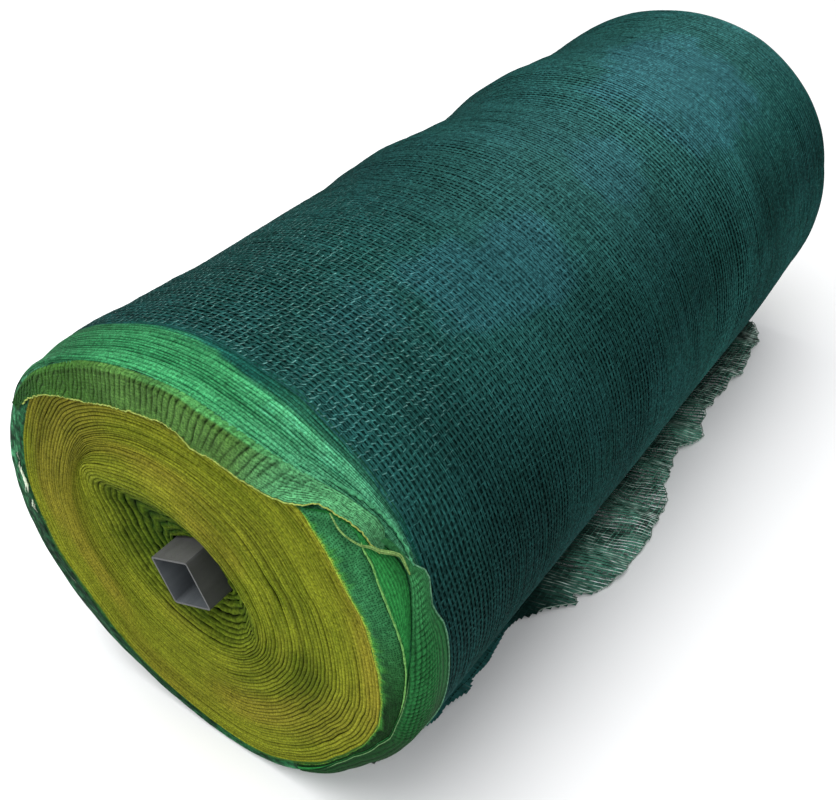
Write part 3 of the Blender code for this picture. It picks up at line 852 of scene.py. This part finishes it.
TOP_FLAP = (
    # turn, inner edge, outer edge
    (-57, -0.0110, -0.0035), (-53, -0.0128, -0.0045), (-51, -0.0148, -0.0050), (-45.2, -0.0192, -0.0055),
    (-34.8, -0.0288, -0.0055), (-27, -0.0352, -0.0050), (-19.2, -0.0378, -0.0022), (-8, -0.0356, 0.0010),
    (0.2, -0.0316, 0.0030), (4.2, -0.0292, 0.0044), (7.8, -0.0300, 0.0053), (12, -0.0372, 0.0055),
    (19, -0.0312, 0.0060), (25.8, -0.0284, 0.0086), (32.8, -0.0168, 0.0150), (36.2, -0.0048, 0.0200),
    (38, 0.0005, 0.0235), (39, 0.0075, 0.0250), (41.8, 0.0128, 0.0300), (45.8, 0.0188, 0.0355),
    (48.5, 0.0220, 0.0395), (51, 0.0222, 0.0400), (53.5, 0.0250, 0.0300),
)
CREASE_RIDGE = (
    # turn, along
    (36, 0.0250), (41, 0.0336), (44.5, 0.0396), (48, 0.0440), (52, 0.0470), (56, 0.0470), (60, 0.0440),
)
RIB_COUNT = (
    # turn, ribs counted from the flap's left end
    (-63, -3.0), (-40, 8.0), (-10, 26.0), (22, 45.0), (53.5, 60.0),
)


def flap_edge(name, degrees, along, lift, radius, material, colour):
    """A bead of thread on an edge that lies on the near corner."""
    return tube(name, corner(np.radians(degrees), along, lift), radius, material, colour)


def thicken(sheet):
    solid = sheet.modifiers.new("thickness", "SOLIDIFY")
    solid.thickness = SHEET_THICKNESS
    solid.offset = -1


def make_top_flap():
    """The border turned in over the near face: ribbed on the left, furrowed and mint on the right."""
    degrees = np.linspace(TOP_FLAP[0][0], TOP_FLAP[-1][0], 480)
    inner, outer = read(TOP_FLAP, degrees)
    inner = inner + 0.0007 * noise(degrees * 0.9, 0, 81) + 0.0005 * noise(degrees * 2.7, 0, 82)
    vv, dd, ss = band_grid(degrees, 66, inner, outer + 0.0015)
    # The ribs stand upright in the flap, not square to its edge
    lean = 2.2 + 6.3 * ease(dd, 5, -36)
    phase = read(RIB_COUNT, dd - lean * vv)
    phase = phase + 0.30 * noise(dd * 0.35, 0, 84) + 0.12 * noise(dd * 0.5, vv * 4, 83)
    rib_gap = valley(phase, 0.42)
    to_mint = ease(dd, 20, 16)
    strength = 0.85 + 0.40 * noise(np.floor(phase + 0.5) * 1.7, vv * 4, 86) - 0.45 * ease(vv, 0.45, -0.5)
    strength = np.clip(strength * (1 - 0.85 * ease(dd, 28, 12)), 0, 1)
    lines = vv * 12 + 0.30 * noise(dd * 0.2, vv * 4, 87) + 0.8 * to_mint * noise(dd * 0.16, vv * 3, 88)
    broken = 0.85 + 0.8 * to_mint * noise(dd * 2.4, np.floor(lines + 0.5) * 1.7, 114)
    furrow = valley(lines, 0.50) * np.clip(broken, 0, 1.3)
    curl = 0.0012 * (1 - smooth(vv / 0.3)) * (0.5 + 0.5 * noise(dd * 0.4, 0, 85))
    lift = 0.0016 + 0.0012 * (1 - rib_gap * strength) + curl - 0.0006 * furrow * to_mint
    lift = lift * (0.35 + 0.65 * ease(vv, 1, -0.12))

    green = rgb(0.026, 0.100, 0.028)
    olive = rgb(0.066, 0.153, 0.032)
    mint = rgb(0.077, 0.274, 0.115)
    crease = rgb(0.070, 0.290, 0.085)
    folded = ease(vv, 0.82, 0.06)
    colour = blend(green, olive, ease(dd, -60, 30))
    colour = blend(colour, crease, folded * (0.08 + 0.77 * ease(dd, -10, 26)))
    colour = blend(colour, mint, to_mint)
    # Painted shade at the left end
    colour *= 1 - rgb(0.44, 0.31, 0.50) * each(ease(dd, -6, -22))
    # Painted shade at the right end and along the folded edge there
    level = 1.06 + 0.12 * to_mint - 0.60 * ease(dd, 45, 8)
    level *= 1 - 0.70 * ease(vv, 0.90, 0.08) * ease(dd, 34, 5)
    level *= 0.96 + 0.22 * noise(dd * 0.12, vv * 3, 89) + 0.14 * noise(dd * 1.1, vv * 9, 90)
    # Painted shade between the ribs, in the furrows and in a shadow line inside the crease
    level *= 1 - 0.80 * rib_gap * strength * (1 - 0.45 * folded)
    level *= 1 - (0.30 + 0.34 * to_mint) * furrow
    level *= 1 - hump(vv, 0.79, 0.045) * (0.25 + 0.50 * rib_gap) * (1 - to_mint)
    slit = hump(vv + 0.014 * (dd - 38), 0.60, 0.020) * ease(dd, 27, 5) * ease(dd, 50, -5)
    colour *= each(level * (1 - 0.45 * slit))
    sheet = net_band("turned_in_border", np.radians(dd), ss, lift, KNIT, (504, 0.0022), colour)
    thicken(sheet)
    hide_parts("top_flap")

    seen = degrees > -52.5
    bead = flap_edge("turned_in_edge", degrees[seen], inner[seen], 0.0034, 0.00055, SELVEDGE,
                     (0.29, 0.36, 0.085))
    # Where the flap leaves the border on the right, its crease is a light gathered ridge
    degrees = np.linspace(36, 60, 90)
    along = read(CREASE_RIDGE, degrees) + 0.0005 * noise(degrees * 2.2, 0, 100)
    size = 0.0017 * ease(degrees, 36, 4) * (0.75 + 0.45 * noise(degrees * 1.6, 0, 101))
    ridge = flap_edge("crease_ridge", degrees, along, 0.0026, size, KNIT,
                      (0.060, 0.270, 0.130))


SIDE_BANDS = (
    # turn, yellow edge, third line, crease, outer edge, rise of the outer fold
    (38.5, -0.0040, -0.0005, 0.0004, 0.0030, 0.0), (41.8, -0.0070, 0.0100, 0.0135, 0.0170, 0.0),
    (45.8, -0.0100, 0.0175, 0.0200, 0.0240, 0.0), (48.5, -0.0120, 0.0185, 0.0240, 0.0290, 0.0),
    (51.0, -0.0138, 0.0148, 0.0280, 0.0340, 0.0005), (54.0, -0.0155, 0.0142, 0.0336, 0.0400, 0.0012),
    (57.5, -0.0175, 0.0112, 0.0372, 0.0432, 0.0020), (60.3, -0.0176, 0.0100, 0.0376, 0.0470, 0.0026),
    (62.5, -0.0168, 0.0092, 0.0349, 0.0535, 0.0030), (64.5, -0.0167, 0.0086, 0.0315, 0.0540, 0.0034),
    (66.8, -0.0175, 0.0083, 0.0268, 0.0500, 0.0038), (69.3, -0.0188, 0.0078, 0.0218, 0.0466, 0.0041),
    (71.8, -0.0200, 0.0074, 0.0168, 0.0480, 0.0044), (74.5, -0.0208, 0.0061, 0.0127, 0.0516, 0.0044),
    (77.8, -0.0218, 0.0046, 0.0076, 0.0524, 0.0044), (85.5, -0.0230, -0.0012, 0.0, 0.0504, 0.0040),
    (94.2, -0.0236, -0.0090, -0.0080, 0.0492, 0.0026),
    (101, -0.0240, -0.0130, -0.0118, 0.0480, 0.0014), (106, -0.0232, -0.0154, -0.0144, 0.0460, 0.0005),
    (122, -0.0155, -0.0136, -0.0128, 0.0330, 0.0), (136, -0.0133, -0.0112, -0.0100, 0.0200, 0.0),
    (150, -0.0120, -0.0092, -0.0040, 0.0020, -0.0010),
)


def make_side_bands():
    """Three bands down the right of the near end: dark mesh, bright green, then the gathered border."""
    degrees = np.linspace(SIDE_BANDS[0][0], SIDE_BANDS[-1][0], 330)
    yellow, third, crease = read(SIDE_BANDS, degrees)[:3]

    # Dark band with a fine mesh, wrapped over the shoulder
    vv, dd, ss = band_grid(degrees, 30, yellow, third)
    lift = 0.0010 + 0.0004 * noise(dd * 0.4, vv * 5, 91) + 0.0006 * vv
    # Painted shade: darker down the right side
    colour = blend(rgb(0.024, 0.122, 0.044), rgb(0.0055, 0.033, 0.0070), ease(dd, 60, 40))
    colour *= each(1.15 + 0.30 * noise(dd * 0.15, vv * 3, 92) + 0.22 * noise(dd * 1.1, vv * 7, 112))
    colour *= 1 - rgb(0.15, 0.22, 0.34) * each(ease(dd, 64, 14))
    rim = 0.36 + 0.17 * noise(dd * 0.9, 0, 96) + 0.11 * noise(dd * 3.1, 0, 110)
    colour = blend(colour, rgb(0.050, 0.230, 0.036), smooth(1 - vv / rim))
    warm = 0.13 + 0.06 * noise(dd * 1.3, 0, 97) + 0.05 * noise(dd * 4.1, 0, 111)
    colour = blend(colour, rgb(0.260, 0.350, 0.035), smooth(1 - vv / warm))
    # Painted shade next to the bright band and further down
    colour *= each((1 - 0.5 * ease(vv, 0.90, 0.1) * ease(dd, 60, 20)) * (1 - 0.20 * ease(dd, 76, 12)))
    net_band("shoulder_band", np.radians(dd), ss, lift, MESH_BAND, (630, 0.0022), colour)

    # Bright band down to the crease
    vv, dd, ss = band_grid(degrees, 46, third, crease)
    furrow = valley(vv * 9 + 0.4 * noise(dd * 0.1, vv * 2, 93), 0.5)
    lift = 0.0024 - 0.0006 * furrow - 0.0012 * vv
    # Painted shade in the furrows and next to the crease
    level = 1 - 0.52 * furrow * (0.8 + 0.4 * noise(dd * 0.2, vv * 9, 98))
    level *= (1.15 - 0.50 * ease(vv, 0.3, 0.7)) * (1 - 0.42 * ease(vv, 0.88, 0.12) * ease(dd, 52, 6))
    colour = rgb(0.023, 0.190, 0.044) * each(level)
    net_band("bright_band", np.radians(dd), ss, lift, KNIT, (1152, 0.0012), colour)
    seen = (degrees > 49.5) & (degrees < 92)
    at = degrees[seen]
    size = (0.00075 + 0.00030 * noise(at * 1.7, 0, 113)) * ease(at, 92, -8)
    flap_edge("bright_band_edge", at, third[seen], 0.0032, size, SELVEDGE,
              (0.130, 0.320, 0.085))

    # The gathered outer border
    parts = ((52, 60, 14), (60.2, 100, 184), (100.7, 150, 66))
    degrees = np.concatenate([np.linspace(*part) for part in parts])
    crease, outer, rise = read(SIDE_BANDS, degrees)[2:]
    vv, dd, ss = band_grid(degrees, 66, crease, outer)
    bulge = np.sin(math.pi * vv**0.7)
    furrow = valley(vv * 11 + 0.7 * noise(dd * 0.07, vv * 3, 94), 0.5)
    crossing = smooth(1.25 - np.abs(vv - 0.30) / 0.34) * ease(dd, 104, -10) * ease(dd, 59, 3)
    wrinkle = valley(dd / 1.15 + 0.30 * noise(dd * 0.3, vv * 2.2, 95), 0.5) * crossing
    lift = 0.0016 + rise * bulge + 0.0008 * (1 - furrow) * (0.4 + 0.6 * bulge) - 0.0010 * wrinkle
    mint = rgb(0.030, 0.145, 0.050)
    green = rgb(0.014, 0.096, 0.026)
    shaded_green = rgb(0.0048, 0.036, 0.0075)
    # Darker downwards: painted shade on the right side
    colour = blend(blend(mint, green, ease(dd, 58, 20)), shaded_green, ease(dd, 82, 24))
    # Painted shade in the furrows and the wrinkles
    level = 1.20 - 0.80 * furrow * (0.85 + 0.4 * noise(dd * 0.1, vv * 12, 99))
    level *= 1 - (0.55 + 0.3 * noise(dd * 0.8, vv * 8, 102)) * wrinkle
    level *= (1 + 0.35 * crossing) * (1 - 0.20 * ease(vv, 0.05, -0.05) * ease(dd, 80, -10))
    colour *= each(level)
    gather = net_band("gathered_border", np.radians(dd), ss, lift, KNIT, (1152, 0.0012), colour)
    thicken(gather)
    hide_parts("side_flap")
    seen = (degrees < 112) & (degrees > 57)
    at = degrees[seen]
    outer_line = flap_edge("gathered_border_edge", at, outer[seen] - 0.0008, EDGE_LIFT,
                           0.0007, SELVEDGE, (0.105, 0.260, 0.150))
    seen = (degrees > 78) & (degrees < 138)
    at = degrees[seen]
    size = 0.00045 * ease(at, 78, 8) * ease(at, 138, -8)
    fold_line = flap_edge("gathered_border_fold", at, crease[seen] + 0.0006, EDGE_LIFT, size,
                          SELVEDGE, (0.095, 0.200, 0.080))


TWIST = (
    # turn, along, lift, thickness
    (41.8, 0.0112, 0.0034, 0.0004), (45.0, 0.0088, 0.0038, 0.0006), (47.0, 0.0096, 0.0042, 0.0006),
    (49.8, 0.0136, 0.0044, 0.0007), (51.5, 0.0204, 0.0048, 0.0011), (53.2, 0.0246, 0.0052, 0.0014),
    (55.0, 0.0324, 0.0054, 0.0014), (56.5, 0.0376, 0.0052, 0.0012), (59.0, 0.0372, 0.0044, 0.0009),
    (61.0, 0.0380, 0.0030, 0.0006),
)


def make_twist():
    """The part of the border that is twisted between the two flaps."""
    steps, sides = 110, 20
    at = np.linspace(0, 1, steps)
    rows = [(knot, *row) for knot, row in zip(np.linspace(0, 1, len(TWIST)), TWIST)]
    degrees, along, lift, size = read(rows, at)
    path = corner(np.radians(degrees), along, lift)
    kernel = np.ones(9) / 9
    for axis in range(3):
        path[:, axis] = np.convolve(np.pad(path[:, axis], 4, mode="edge"), kernel, mode="valid")
    spiral = np.abs(np.sin((np.arange(sides) * TAU / sides * 5 + at[:, None] * 14) / 2))
    radius = size[:, None] * (0.86 + 0.28 * spiral)
    # Painted shade in the grooves between the twisted strands
    colour = rgb(0.200, 0.340, 0.100) * each(0.30 + 0.80 * spiral)
    cells = (60 / (steps - 1), 3)
    tube("twisted_gather", path, radius, KNIT, colour, sides=sides, height=0.7, cells=cells)


# Loose end

LOOSE_EDGE = (
    # distance from the near end, how far the edge lies from the roll's middle
    (0.060, 0.146), (0.087, 0.158), (0.138, 0.168), (0.150, 0.168), (0.177, 0.178), (0.192, 0.171),
    (0.209, 0.174), (0.250, 0.171), (0.265, 0.168), (0.286, 0.170), (0.317, 0.191), (0.341, 0.213),
    (0.349, 0.203), (0.354, 0.204), (0.362, 0.216), (0.371, 0.225), (0.410, 0.235), (0.462, 0.235),
    (0.543, 0.224), (0.584, 0.207), (0.640, 0.198), (0.683, 0.213), (0.717, 0.200), (0.747, 0.195),
    (0.844, 0.201), (0.938, 0.192), (0.977, 0.169),
)
LOOSE_FROM = 0.062
LOOSE_TO = 0.974
LOOSE_INSIDE = 0.060
LOOSE_START = 0.115
RUFFLE_HEIGHT = 0.0070
LOOSE_LINES = (0.085, 0.236, 0.0062)
RIB_HALF_WIDTH = 0.0023
RIB_CREST = 0.0007
# Painted shade of the roll on the loose net: deep under it, lighter on the front strip
LOOSE_DEEP_SHADE = rgb(0.0050, 0.0230, 0.0190)
LOOSE_SHADED = rgb(0.0260, 0.1150, 0.1060)
LOOSE_GREEN = rgb(0.0680, 0.2050, 0.1450)
LOOSE_HIGHLIGHT = rgb(0.560, 0.740, 0.640)


def ruffle(x, distance):
    """How high the loose net stands off the ground."""
    slant = 0.25 * (x - LOOSE_START)
    main = np.sin(TAU * (distance + slant) / 0.082)
    second = np.sin(TAU * (distance - slant) / 0.047 + 1.0)
    crumple = 0.0012 * (0.5 + 0.5 * noise(x * 120, distance * 90, 103))
    wave = np.maximum(0.5 + 0.35 * main + 0.25 * second, 0.0)
    return RUFFLE_HEIGHT * ease(x, LOOSE_START, 0.075) * wave + crumple


def on_ground(x, distance, lift=0.0):
    """Points on the ruffled loose net."""
    return stacked(x, NEAR + distance, FLOOR_GAP + lift + ruffle(x, distance))


def free_part(x, distance):
    """Where the loose net lies clear of the roll's shade."""
    return ease(x, 0.150, 0.055) * ease(distance, 0.29, 0.13)


def make_loose_end():
    """The loose net: close ribs that run out from the roll, with cross threads and an edge."""
    random = np.random.RandomState(101)
    distances = np.arange(LOOSE_FROM, LOOSE_TO, HOOP_PITCH)
    distances = distances + random.uniform(-0.0005, 0.0005, len(distances))
    open_part = ease(distances, 0.24, 0.06)
    # The ribs run out at a slant, except at both ends of the roll
    lean = 0.30 * ease(distances, 0.12, 0.28) * ease(distances, LOOSE_TO, -0.12)
    reach = read(LOOSE_EDGE, distances)
    for _ in range(4):
        reach = read(LOOSE_EDGE, distances + lean * (reach - LOOSE_INSIDE))
    reach = reach + 0.0030 * (0.25 + 0.75 * open_part) * noise(distances * 90, 0, 108)
    reach = reach + random.uniform(-0.0016, 0.0010, len(distances)) * open_part
    tips = distances + lean * (reach - LOOSE_INSIDE)
    root = distances[:, None]
    x = LOOSE_INSIDE + (reach[:, None] - LOOSE_INSIDE) * np.linspace(0, 1, 44)
    s = root + lean[:, None] * (x - LOOSE_INSIDE) + 0.0020 * noise(x * 55, root * 25, 102)
    centres = on_ground(x, s)
    half_width = RIB_HALF_WIDTH + 0.0005 * noise(x * 90, root * 260, 106) + 0.0018 * ease(s, 0.45, -0.13)
    points = strands(centres, ALONG, each(half_width), UP, RIB_CREST)
    patch = smooth(0.5 + 0.8 * noise(x * 45, s * 22, 104))
    # Painted shade where the roll shades the loose net
    base = blend(LOOSE_DEEP_SHADE, LOOSE_SHADED, ease(s, 0.30, -0.06) * ease(x, 0.145, 0.02))
    tint = blend(base, LOOSE_GREEN * each(0.45 + 1.30 * patch), free_part(x, s))
    tint = tint * each(1 + 0.25 * noise(x * 200, s * 260, 107))
    all_points = [points.reshape(-1, 3)]
    all_faces = [strand_faces(*points.shape[:3], flip=True)]
    all_tints = [np.repeat(tint.reshape(-1, 3), 3, axis=0)]
    start = len(all_points[0])

    # Cross threads that run along the roll, cut off where the edge is
    s_line = np.linspace(LOOSE_FROM, LOOSE_TO, 300)
    limit = np.interp(s_line, tips, reach)
    for line in np.arange(*LOOSE_LINES):
        x_line = line + 0.0020 * noise(s_line * 30, line * 300, 105) + 0.003 * np.sin(s_line * 9)
        line_centres = on_ground(x_line, s_line, 0.0006)
        line_tint = blend(LOOSE_DEEP_SHADE * 1.5, LOOSE_GREEN * 1.6, free_part(x_line, s_line))
        keep = x_line < limit - 0.001
        runs = np.flatnonzero(np.diff(np.concatenate([[0], keep.astype(int), [0]])))
        for first, last in zip(runs[::2], runs[1::2]):
            if last - first < 3:
                continue
            points = strands(line_centres[None, first:last], ACROSS, 0.0006, UP, 0.0005)
            all_points.append(points.reshape(-1, 3))
            all_faces.append(strand_faces(*points.shape[:3]) + start)
            all_tints.append(np.repeat(line_tint[first:last], 3, axis=0))
            start += len(all_points[-1])
    faces = np.concatenate(all_faces)
    tints = np.concatenate(all_tints)
    piece = new_piece("loose_net", np.concatenate(all_points), faces, THREAD_MATT, tints)
    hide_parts("loose_end")

    # A pale strand on each rib: a painted highlight along its crest
    points = strands(centres + UP * 0.0011, ALONG, 0.00062, UP, 0.0004)
    own = random.uniform(0.30, 1.30, len(distances))[:, None]
    broken = np.clip(0.85 + 1.5 * noise(x * 170, s * 230, 109), 0.06, 2.2)
    light = (0.06 + 0.94 * ease(x, 0.160, 0.048)) * own * (1.2 - 0.5 * patch) * broken
    fringe = 0.45 * hump(s, 0.180, 0.010) * ease(x, 0.162, 0.008)
    shown = np.maximum(ease(s, 0.27, 0.12), fringe)
    tint = blend(base * 1.2, LOOSE_HIGHLIGHT * each(light), shown)
    ribs = strand_piece("loose_net_ribs", points, THREAD_MATT, tint, flip=True)

    seen = distances > 0.28
    edge = on_ground(reach[seen], tips[seen], 0.0010)
    bead = tube("loose_net_edge", edge, 0.0006, THREAD_MATT, (0.22, 0.30, 0.25))


# Tube, stage

def dress_tube():
    """Painted steel, worn in streaks, on the solid tube, with painted shade on two sides, painted light on the upper
    sides and a paler inside of painted light.
    """
    material, tree, shader = material_tree("tube_paint", {"Metallic": 0.3})
    place = add(tree, "ShaderNodeTexCoord").outputs["Object"]
    stretched = add(tree, "ShaderNodeMapping", {"Vector": place, "Scale": (90.0, 12.0, 90.0)}).outputs[0]
    level = ramp(tree, texture(tree, stretched, 1.0, 6.0))
    spots = texture(tree, place, 300.0, 3.0)
    shaded = mix_colour(tree, level, (0.048, 0.049, 0.049), (0.068, 0.069, 0.069))
    lit_upper_sides = mix_colour(tree, level, (0.105, 0.105, 0.102), (0.135, 0.135, 0.131))
    # Painted light: the inside paler
    inside = mix_colour(tree, level, (0.090, 0.101, 0.108), (0.120, 0.133, 0.141))
    # Distances from the axis are measured square to the tube's turned sides
    from_axis = add(tree, "ShaderNodeMapping", {"Vector": place, "Location": (0.0, 0.0, -TUBE_HEIGHT)})
    turned = add(tree, "ShaderNodeMapping", {"Vector": from_axis.outputs[0],
                                             "Rotation": (0.0, -(TUBE_TURN + math.pi / 4), 0.0)})
    parts = add(tree, "ShaderNodeSeparateXYZ", {"Vector": turned.outputs[0]})
    off_x, off_y, off_z = (maths(tree, "ABSOLUTE", part) for part in parts.outputs)
    wall = maths(tree, "LESS_THAN", maths(tree, "MAXIMUM", off_x, off_z), TUBE_SIDE / 2 - 0.0010)
    # Two of its four sides get painted shade, the other two painted light
    pair = maths(tree, "GREATER_THAN", off_x, TUBE_SIDE / 2 - 0.0004)
    sides = mix_colour(tree, wall, mix_colour(tree, pair, shaded, lit_upper_sides), inside)
    rim = maths(tree, "GREATER_THAN", off_y, TUBE_END)
    colour = mix_colour(tree, rim, sides, (0.060, 0.062, 0.062))
    tree.links.new(colour, shader.inputs["Base Color"])
    tree.links.new(ramp(tree, spots, 0.45, 0.62), shader.inputs["Roughness"])
    bump(tree, shader, spots, 0.15, 0.0004)
    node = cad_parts["core_tube"]
    node.data.materials.clear()
    node.data.materials.append(material)


def lamp(name, place, target, size, power):
    data = bpy.data.lights.new(name, "AREA")
    data.shape = "DISK"
    data.size = size
    data.energy = power
    light = bpy.data.objects.new(name, data)
    light.location = place
    light.rotation_euler = (Vector(target) - Vector(place)).to_track_quat("-Z", "Y").to_euler()
    bpy.context.scene.collection.objects.link(light)


def make_stage():
    """A pale floor, a soft sky and two large lamps."""
    material, tree, shader = material_tree("pale_floor", {"Roughness": 0.9, "Specular IOR Level": 0.1})
    place = add(tree, "ShaderNodeTexCoord").outputs["Object"]
    level = ramp(tree, texture(tree, place, 4.0))
    colour = mix_colour(tree, level, (0.86, 0.86, 0.86), (0.88, 0.88, 0.88))
    tree.links.new(colour, shader.inputs["Base Color"])
    mesh = bpy.data.meshes.new("floor")
    corners = [(-1, -1), (1, -1), (1, 1), (-1, 1)]
    points = [(x * FLOOR_REACH, y * FLOOR_REACH, FLOOR_HEIGHT) for x, y in corners]
    mesh.from_pydata(points, [], [(0, 1, 2, 3)])
    mesh.materials.append(material)
    floor = bpy.data.objects.new("floor", mesh)
    bpy.context.scene.collection.objects.link(floor)

    world = bpy.data.worlds.new("studio")
    world.use_nodes = True
    background = world.node_tree.nodes["Background"]
    background.inputs["Color"].default_value = (0.97, 0.98, 1.0, 1)
    background.inputs["Strength"].default_value = 0.86
    bpy.context.scene.world = world
    bpy.context.scene.view_settings.view_transform = "Standard"
    lamp("key", (-0.5, -0.8, 3.1), (0, -0.1, 0.2), 3.4, 98)
    lamp("front_fill", (-0.5, -2.6, 1.0), (0, -0.4, 0.2), 1.4, 14)


def make_camera():
    flat = math.cos(CAMERA_PITCH)
    forward = Vector((math.sin(CAMERA_YAW) * flat, math.cos(CAMERA_YAW) * flat, -math.sin(CAMERA_PITCH)))
    data = bpy.data.cameras.new("camera")
    data.sensor_width = 36.0
    data.lens = CAMERA_LENS
    camera = bpy.data.objects.new("camera", data)
    facing = forward.to_track_quat("-Z", "Y").to_matrix().to_4x4()
    camera.matrix_world = Matrix.Translation(CAMERA_PLACE) @ facing
    bpy.context.scene.collection.objects.link(camera)
    bpy.context.scene.camera = camera


make_camera()
make_stage()
dress_tube()
make_body()
make_border()
make_face()
make_far_end()
make_shoulder()
make_top_flap()
make_side_bands()
make_twist()
make_loose_end()
